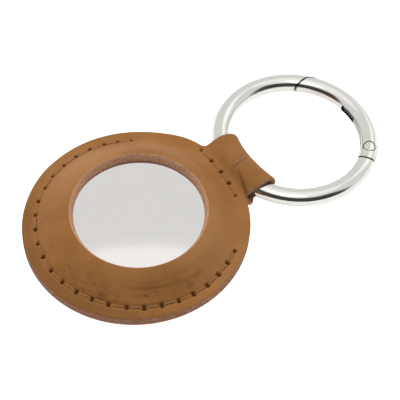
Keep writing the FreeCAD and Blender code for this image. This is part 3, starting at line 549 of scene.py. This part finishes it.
def crease_tab(bm):
    """Press a step beside the ring and a small wrinkle with a worn ridge into the tab's upper face."""
    step_start = Vector((22.15, -0.9, 0))
    step_end = Vector((20.0, -7.6, 0))
    step_height = 0.55
    step_width = 0.36
    step_top = 0.4
    step_reach = 2.2
    step_growth = 0.7
    groove_depth = 0.42
    groove_width = 0.22
    groove_offset = 0.12
    steepest = 0.25
    wrinkle_growth = 0.3
    wrinkles = [
        (Vector((20.6, -0.90, 0)), Vector((24.8, -0.25, 0)), 0.24, 0.15),
        (Vector((20.7, -0.52, 0)), Vector((24.7, 0.13, 0)), -0.05, 0.17),
        (Vector((20.9, -1.20, 0)), Vector((24.7, -0.60, 0)), -0.16, 0.15),
    ]
    raw = bm.verts.layers.float["raw"]
    along_step = step_end - step_start
    beside_step = Vector((-along_step.y, along_step.x, 0)).normalized()
    bm.normal_update()
    for vert in bm.verts:
        if vert.co.x < tab_edge or vert.normal.z < steepest or vert.co.z < seam_level:
            continue
        spot = Vector((vert.co.x, vert.co.y, 0))
        grown = smooth((spot - step_start).dot(along_step) / along_step.length_squared / step_growth)
        beside = (spot - step_start).dot(beside_step)
        raised = step_height * smooth(beside / step_width + 0.5)
        raised *= 1 - smooth((beside - step_top) / step_reach)
        sunk = groove_depth * math.exp(-((beside + groove_offset) / groove_width) ** 2)
        lift = grown * (raised - sunk)
        for start, end, height, width in wrinkles:
            along = end - start
            share = (spot - start).dot(along) / along.length_squared
            held = min(max(share, 0), 1)
            distance = (spot - start - along * held).length
            ridge = smooth(held / wrinkle_growth) * math.exp(-(distance / width) ** 2)
            lift += height * ridge
            if height > 0:
                vert[raw] = max(vert[raw], ridge)
        vert.co.z += lift


def front_panel_and_tab():
    """The finished piece, and its surface in millimetres for the thread to lie on."""
    bm = bmesh.new()
    points, raw_shares = front_panel_profile()
    draw_profile(bm, points, raw_shares)
    turn_round(bm, spin_steps)
    cut_by_hand(bm)
    fold_strip(bm)
    press_holes(bm, seam_points(), side=1)
    press_holes(bm, tab_seam_points(), side=1)
    press_holes(bm, tab_seam_points(), side=-1)
    crease_tab(bm)
    swell(bm, amount=0.05, size=5.0, seed=3.0)
    bmesh.ops.recalc_face_normals(bm, faces=bm.faces[:])
    skin = BVHTree.FromBMesh(bm)
    return finish_piece(bm, "front_leather", tan_leather), skin


front_leather, front_skin = front_panel_and_tab()
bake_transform(front_leather, "holder", "tab", start=(0.0196, 0, 0.0053), end=(0.0215, 0, 0.0047))
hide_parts("front_panel", "hanging_tab", "tab_tail")


# Rear panel
# A second disc of the same leather without a window, pressed over the back of the tag and cut straight
# across under the tab, where the tag goes in. It is sewn to the front along the rim.

mouth_depth = 3.0
mouth_edge = tab_edge - mouth_depth


def rear_panel():
    """The finished piece and its surface; its section runs from the middle to the rim and back inside."""
    shoulder = (15.3, 1.28)
    foot = (19.4, 4.18)
    rim = (20.66, 4.20)
    inner_foot = (18.861, seam_level)
    inner_shoulder = (15.479, 2.407)
    points = curve((0.0, 0.0), (4.0, 0.0), (8.0, 0.0), (12.8, 0.0), 12)
    points += curve((12.8, 0.0), (13.75, 0.0), (14.6, 0.73), shoulder, 12)
    points += curve(shoulder, (16.7, 2.4), (17.9, 4.12), foot, 34)
    points += curve(foot, (19.8, 4.20), (20.2, 4.20), rim, 9)
    raw_shares = [0.0] * len(points)
    edge = [(20.66, 4.20, 0), (20.78, 4.225, 0), (20.86, 4.29, 0.1), (20.92, 4.38, 0.6), (20.95, 4.5, 1),
            (20.96, 4.8, 1), (20.95, 5.1, 1), (20.92, 5.24, 1), (20.85, seam_level, 1)]
    points += [Vector((radius, 0, level)) for radius, level, share in edge]
    raw_shares += [share for radius, level, share in edge]
    under = curve(inner_foot, (17.6, seam_level), (16.28, 3.43), inner_shoulder, 6)
    under += curve(inner_shoulder, (14.835, 1.583), (13.846, 1.1), (12.8, 1.1), 5)
    under += curve((12.8, 1.1), (8.0, 1.1), (4.0, 1.1), (0.0, 1.1), 6)
    under.append(Vector((0.0, 0.0, 1.1)))
    points += under
    raw_shares += [0.6] * len(under)

    bm = bmesh.new()
    draw_profile(bm, points, raw_shares)
    axis_edges = [edge for edge in bm.edges if max(abs(vert.co.x) for vert in edge.verts) < 0.001]
    bmesh.ops.delete(bm, geom=axis_edges, context="EDGES_FACES")
    turn_round(bm, spin_steps // 2)
    cut_by_hand(bm)
    everything = bm.verts[:] + bm.edges[:] + bm.faces[:]
    cut = bmesh.ops.bisect_plane(bm, geom=everything, dist=0.0001, plane_co=(mouth_edge, 0, 0),
                                 plane_no=(1, 0, 0), clear_outer=True)
    mouth = [item for item in cut["geom_cut"] if isinstance(item, bmesh.types.BMEdge)]
    bmesh.ops.edgeloop_fill(bm, edges=mouth)
    press_holes(bm, seam_points(), side=-1)
    bmesh.ops.recalc_face_normals(bm, faces=bm.faces[:])
    skin = BVHTree.FromBMesh(bm)
    return finish_piece(bm, "rear_leather", tan_leather), skin


rear_leather, rear_skin = rear_panel()
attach(rear_leather, "holder")
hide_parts("rear_panel")


# Stitches
# A lockstitch in waxed tan thread, three strands laid together. Each stitch lies in a groove of the leather
# and dives into the awl holes at its two ends, once on the front and once on the back.

thread_radius = 0.17


def thread_finish():
    """Waxed linen in two close tans, fibre by fibre."""
    finish, paint = new_finish("waxed_thread")
    place = paint.place()
    fibre = paint.speckle(place, 0.08, 4.0)
    tone = fibre.between(0.35, 0.65)
    colour = tone.mix((0.17, 0.072, 0.020, 1), (0.30, 0.142, 0.050, 1))
    paint.surface(Base_Color=colour, Roughness=0.5 + fibre * 0.2, Normal=paint.bump(fibre, 0.02),
                  Specular_IOR_Level=0.3)
    return finish


waxed_thread = thread_finish()


def lay_stitch(bm, first, second, level, side, lean):
    """One twisted stitch from hole to hole, drawn ring by ring along its arch."""
    stations = 18
    sides = 12
    strands = 3
    strand_relief = 0.14
    twist = math.radians(48)
    dive = 0.55
    end_gap = 0.09
    along = second - first
    across = Vector((-along.y, along.x, 0)).normalized()
    path = []
    for step in range(stations + 1):
        share = step / stations
        bow = abs(2 * share - 1) ** 6
        height = level - side * dive * bow
        spot = first + along * (end_gap + (1 - 2 * end_gap) * share) + across * lean * (1 - bow)
        path.append(spot + Vector((0, 0, height)))

    ring = bmesh.ops.create_circle(bm, cap_ends=True, segments=sides, radius=thread_radius)["verts"]
    for index, vert in enumerate(ring):
        vert.co *= 1 + strand_relief * math.cos(2 * math.pi * strands * index / sides)

    def stand(step):
        """Where the ring of one step stands: on the path, across it, and turned by the twist."""
        way = path[min(step + 1, stations)] - path[max(step - 1, 0)]
        facing = way.to_track_quat("Z", "Y").to_matrix().to_4x4()
        return Matrix.Translation(path[step]) @ facing @ Matrix.Rotation(twist * step, 4, "Z")

    bmesh.ops.transform(bm, matrix=stand(0), verts=ring)
    rim = list({edge for vert in ring for edge in vert.link_edges})
    for step in range(1, stations + 1):
        made = bmesh.ops.extrude_edge_only(bm, edges=rim)["geom"]
        ring = [item for item in made if isinstance(item, bmesh.types.BMVert)]
        rim = [item for item in made if isinstance(item, bmesh.types.BMEdge)]
        bmesh.ops.transform(bm, matrix=stand(step) @ stand(step - 1).inverted(), verts=ring)
    bmesh.ops.edgeloop_fill(bm, edges=rim)


def sew(name, holes, skin, side, node, seed):
    """A row of stitches on one side of the leather, each laid a little differently in its groove."""
    hand = random.Random(seed)
    far = 20
    lowest = 0.3
    highest = 0.7
    wander = 0.05
    bm = bmesh.new()
    for first, second in zip(holes, holes[1:]):
        above = (first + second) / 2 + Vector((0, 0, seam_level + side * far))
        groove = skin.ray_cast(above, Vector((0, 0, -side)))[0]
        level = groove.z + side * thread_radius * hand.uniform(lowest, highest)
        lay_stitch(bm, first, second, level, side, hand.uniform(-wander, wander))
    bmesh.ops.recalc_face_normals(bm, faces=bm.faces[:])
    row = finish_piece(bm, name, waxed_thread)
    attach(row, "holder")
    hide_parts(node)


sew("perimeter_stitches_front", seam_points(), front_skin, side=1, node="perimeter_needle_thread", seed=1)
sew("perimeter_stitches_back", seam_points(), rear_skin, side=-1, node="perimeter_bobbin_thread", seed=2)
sew("tab_stitches_front", tab_seam_points(), front_skin, side=1, node="tab_needle_thread", seed=3)
sew("tab_stitches_back", tab_seam_points(), front_skin, side=-1, node="tab_bobbin_thread", seed=4)


# Gate ring
# A ring of round zinc wire with a hinged gate, polished and nickel-plated. The solids of the frame have its
# shape; the gate's rivet, a turned pin with two broken-edged heads dressed to the wire, is drawn here, and so
# is the coil spring in the gate, in front of the plunger.

wire_radius = 1.75
ring_stand = Matrix.Translation(ring_centre) @ Matrix.Rotation(ring_tilt, 4, "Y")
pin_angle = math.radians(-45)
pin_head_radius = 1.09
pin_shank_radius = 0.75
pin_neck = 0.7


def plating_finish():
    """Bright nickel, dulled along the sharp edges and darkened there as painted shade."""
    finish, paint = new_finish("nickel_plate")
    place = paint.place()
    smear = paint.speckle(place, 3.0, 3.0)
    rubbed = paint.speckle(place, 0.35, 6.0).between(0.55, 0.75)
    rounded = paint.node("ShaderNodeBevel", {"samples": 8}, {"Radius": 0.32 * MM})
    facing = paint.node("ShaderNodeNewGeometry", {}, {}, "Normal")
    flat = paint.node("ShaderNodeVectorMath", {"operation": "DOT_PRODUCT"}, {0: rounded, 1: facing}, "Value")
    # Painted shade along the sharp edges, which darkens the gate's slits.
    edge = 1 - flat.between(0.85, 0.99)
    plate = smear.mix((0.53, 0.52, 0.49, 1), (0.57, 0.56, 0.53, 1))
    colour = (edge * 0.85).mix(plate, (0.10, 0.095, 0.09, 1))
    roughness = 0.06 + smear * 0.05 + rubbed * 0.04 + edge * 0.15
    paint.surface(Base_Color=colour, Metallic=1.0, Roughness=roughness)
    return finish


def spring_finish():
    """Bare spring steel, a little mottled."""
    finish, paint = new_finish("spring_steel")
    place = paint.place()
    mottle = paint.speckle(place, 0.3, 4.0)
    colour = mottle.mix((0.22, 0.22, 0.22, 1), (0.38, 0.38, 0.37, 1))
    paint.surface(Base_Color=colour, Metallic=1.0, Roughness=0.22 + mottle * 0.15)
    return finish


def dress(finish, *names):
    """Give the frame's own solids a finish."""
    for name in names:
        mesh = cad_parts[name].data
        mesh.materials.clear()
        mesh.materials.append(finish)


def hinge_pin(finish):
    """A rivet through the gate's two cheeks; each head follows the round of the wire."""
    sides = 64
    broken_edge = 0.14
    margin = 0.01
    head_inset = 0.16
    head_rings = 5
    bm = bmesh.new()
    for way in (1, -1):
        depth = wire_radius - pin_neck
        lift = Matrix.Translation((0, 0, way * (pin_neck + depth / 2)))
        head = bmesh.ops.create_cone(bm, cap_ends=True, segments=sides, radius1=pin_head_radius,
                                     radius2=pin_head_radius, depth=depth, matrix=lift)["verts"]
        caps = {face for vert in head for face in vert.link_faces if len(face.verts) > 4}
        cap = max(caps, key=lambda face: face.calc_center_median().z * way)
        bmesh.ops.bevel(bm, geom=cap.edges[:], offset=broken_edge, segments=4, profile=0.5, affect="EDGES",
                        material=-1)
        cap = max((face for face in bm.faces if len(face.verts) > 4),
                  key=lambda face: face.calc_center_median().z * way)
        for _ in range(head_rings):
            bmesh.ops.inset_region(bm, faces=[cap], thickness=head_inset)
    for vert in bm.verts:
        below = wire_radius - abs(vert.co.z)
        if below < broken_edge + margin:
            reach = math.hypot(ring_radius + vert.co.x, vert.co.y) - ring_radius
            vert.co.z = math.copysign(math.sqrt(wire_radius ** 2 - reach ** 2) - below, vert.co.z)
    bmesh.ops.create_cone(bm, cap_ends=True, segments=sides, radius1=pin_shank_radius,
                          radius2=pin_shank_radius, depth=2 * pin_neck)
    stand = ring_stand @ Matrix.Rotation(pin_angle, 4, "Z") @ Matrix.Translation((ring_radius, 0, 0))
    bmesh.ops.transform(bm, matrix=stand, verts=bm.verts[:])
    bmesh.ops.recalc_face_normals(bm, faces=bm.faces[:])
    pin = finish_piece(bm, "gate_rivet", finish)
    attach(pin, "gate")
    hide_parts("gate_pin")


def coil_spring(finish):
    """A short coil between the plunger and the blind end of the gate's channel, which holds it."""
    coil_radius = 0.48
    spring_wire = 0.22
    wire_sides = 14
    turns = 6
    steps = 24
    channel_offset = 0.65
    axis_radius = ring_radius - channel_offset
    plunger_end = math.radians(-12)
    channel_end = math.radians(6)
    low = Vector((math.cos(plunger_end), math.sin(plunger_end), 0)) * axis_radius
    high = Vector((math.cos(channel_end), math.sin(channel_end), 0)) * axis_radius
    along = (high - low).normalized()
    low += along * spring_wire
    high -= along * spring_wire
    rise = (high - low).length / (turns * steps)

    bm = bmesh.new()
    upright = Matrix.Translation((coil_radius, 0, 0)) @ Matrix.Rotation(math.radians(90), 4, "X")
    bmesh.ops.create_circle(bm, segments=wire_sides, radius=spring_wire / 2, matrix=upright)
    bmesh.ops.spin(bm, geom=bm.verts[:] + bm.edges[:], cent=(0, 0, 0), axis=(0, 0, 1), dvec=(0, 0, rise),
                   angle=2 * math.pi * turns, steps=turns * steps)
    bmesh.ops.holes_fill(bm, edges=[edge for edge in bm.edges if edge.is_boundary], sides=0)
    out = Vector((0, 0, 1))
    coil_stand = Matrix((out, along.cross(out), along)).transposed().to_4x4()
    coil_stand.translation = low
    bmesh.ops.transform(bm, matrix=ring_stand @ coil_stand, verts=bm.verts[:])
    bmesh.ops.recalc_face_normals(bm, faces=bm.faces[:])
    spring = finish_piece(bm, "coil_spring", finish)
    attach(spring, "gate")
    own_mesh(spring)
    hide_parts("gate_spring")


nickel_plate = plating_finish()
spring_steel = spring_finish()
dress(nickel_plate, "ring_body", "ring_gate")
dress(spring_steel, "gate_plunger", "cell_contact")
hinge_pin(nickel_plate)
coil_spring(spring_steel)


# Tracker tag
# A coin tracker: a glossy white shell with a polished steel battery cover that faces the window. Under the
# cover lie the gasket, the coin cell, its contact, the tray, the board and the sounder.

def plain_finish(name, dark, light, grain, roughness, metallic=0.0):
    """A finish whose colour and gloss drift a little between two tones."""
    finish, paint = new_finish(name)
    place = paint.place()
    drift = paint.speckle(place, grain, 4.0)
    paint.surface(Base_Color=drift.between(0.3, 0.7).mix((*dark, 1), (*light, 1)), Metallic=metallic,
                  Roughness=roughness + drift * 0.12)
    return finish


def cover_finish():
    """Mirror-polished steel with the finest of wear marks."""
    finish, paint = new_finish("cover_steel")
    place = paint.place()
    wear = paint.speckle(place, 0.25, 5.0).between(0.5, 0.8)
    colour = wear.mix((0.585, 0.570, 0.553, 1), (0.575, 0.560, 0.543, 1))
    paint.surface(Base_Color=colour, Metallic=1.0, Roughness=0.045 + wear * 0.03)
    return finish


dress(cover_finish(), "battery_cover")
dress(plain_finish("shell_plastic", (0.70, 0.70, 0.69), (0.76, 0.76, 0.75), 3.0, 0.12), "tag_shell")
dress(plain_finish("tray_plastic", (0.03, 0.03, 0.03), (0.06, 0.06, 0.06), 0.6, 0.45), "battery_tray")
dress(plain_finish("cell_steel", (0.50, 0.50, 0.49), (0.62, 0.62, 0.61), 1.2, 0.2, 1.0), "coin_cell")
dress(plain_finish("gasket_rubber", (0.015, 0.015, 0.015), (0.04, 0.04, 0.04), 0.4, 0.6), "cover_gasket")
dress(plain_finish("board_mask", (0.015, 0.07, 0.03), (0.03, 0.13, 0.06), 0.8, 0.3), "circuit_board")
dress(plain_finish("magnet_plate", (0.30, 0.30, 0.31), (0.45, 0.45, 0.46), 0.8, 0.3, 1.0), "sounder_magnet")
dress(plain_finish("coil_copper", (0.45, 0.16, 0.06), (0.70, 0.30, 0.13), 0.2, 0.3, 1.0), "sounder_coil")


# Studio
# A plain white floor in soft light: a bright ceiling, pale walls, a window on the right and a darker room
# behind the camera, which the polished ring and the steel cover mirror.

camera_azimuth = math.radians(-36.018)
camera_elevation = math.radians(54.554)
camera_distance = 0.45003
camera_target = Vector((0.013816, -0.000885, 0.003))
focal_pixels = 2401.6
image_pixels = 400
sensor_width = 36.0
camera_back = Vector((math.sin(camera_azimuth) * math.cos(camera_elevation),
                      -math.cos(camera_azimuth) * math.cos(camera_elevation),
                      math.sin(camera_elevation)))


def floor():
    """A white sheet, drawn in metres, far enough below for the ring to swing down over it."""
    floor_level = -0.022
    half_width = 3.0
    bm = bmesh.new()
    bmesh.ops.create_grid(bm, x_segments=4, y_segments=4, size=half_width)
    bmesh.ops.translate(bm, vec=(0, 0, floor_level), verts=bm.verts[:])
    mesh = bpy.data.meshes.new("studio_floor")
    bm.to_mesh(mesh)
    bm.free()
    finish, paint = new_finish("pale_floor")
    paint.surface(Base_Color=(0.6, 0.6, 0.6, 1), Roughness=0.9, Specular_IOR_Level=0.1,
                  Emission_Color=(1.0, 1.0, 1.0, 1), Emission_Strength=0.7)
    mesh.materials.append(finish)
    sheet = bpy.data.objects.new("studio_floor", mesh)
    bpy.context.scene.collection.objects.link(sheet)


def room_light():
    """The room as light from all round, by direction."""
    wall_light = 1.15
    cornice_light = 0.06
    ceiling_light = 0.27
    overhead_light = 1.9
    window_light = 0.6
    darkening = 0.93
    world = bpy.data.worlds.new("studio")
    bpy.context.scene.world = world
    world.use_nodes = True
    world.node_tree.nodes.clear()
    room = Shade(world.node_tree)
    way = room.node("ShaderNodeTexCoord", {}, {}, "Generated")
    x, y, z = room.axes(way)
    behind = Vector((camera_back.x, camera_back.y, 0)).normalized()
    towards_camera = x * behind.x + y * behind.y
    rightwards = x * -behind.y + y * behind.x
    cornice = z.between(0.8375, 0.842)
    ceiling = z.between(0.8437, 0.848)
    overhead = (z + towards_camera * 0.35).between(1.0, 1.05)
    window = rightwards.between(0.22, 0.5) * (0 - towards_camera).between(0.25, 0.45) * z.between(0.25, 0.45)
    dark_room = towards_camera.between(0.2, 0.5) * (1 - z.between(0.66, 0.76))
    above = cornice * cornice_light + ceiling * ceiling_light + overhead * overhead_light
    glow = above + window * window_light
    strength = (wall_light + glow) * (1 - dark_room * darkening)
    shader = room.node("ShaderNodeBackground", {}, {"Color": (1.0, 1.0, 1.0, 1), "Strength": strength})
    room.node("ShaderNodeOutputWorld", {}, {"Surface": shader})


def softbox(name, place, aim, size, power):
    """A square lamp that lights the leather but doesn't show in the metal."""
    light = bpy.data.lights.new(name, "AREA")
    light.size = size
    light.energy = power
    lamp = bpy.data.objects.new(name, light)
    lamp.location = place
    lamp.rotation_euler = (Vector(aim) - Vector(place)).to_track_quat("-Z", "Y").to_euler()
    lamp.visible_glossy = False
    bpy.context.scene.collection.objects.link(lamp)


floor()
room_light()
softbox("far_softbox", place=(0.18, 0.37, 0.6), aim=(0.01, 0, 0), size=0.4, power=2.0)

camera = bpy.data.objects.new("photo_camera", bpy.data.cameras.new("photo_camera"))
camera.data.sensor_width = sensor_width
camera.data.lens = focal_pixels / image_pixels * sensor_width
camera.data.clip_start = 0.01
camera.data.clip_end = 20
camera.location = camera_target + camera_back * camera_distance
camera.rotation_mode = "QUATERNION"
camera.rotation_quaternion = (-camera_back).to_track_quat("-Z", "Y")
bpy.context.scene.collection.objects.link(camera)
bpy.context.scene.camera = camera
bpy.context.scene.view_settings.view_transform = "Standard"
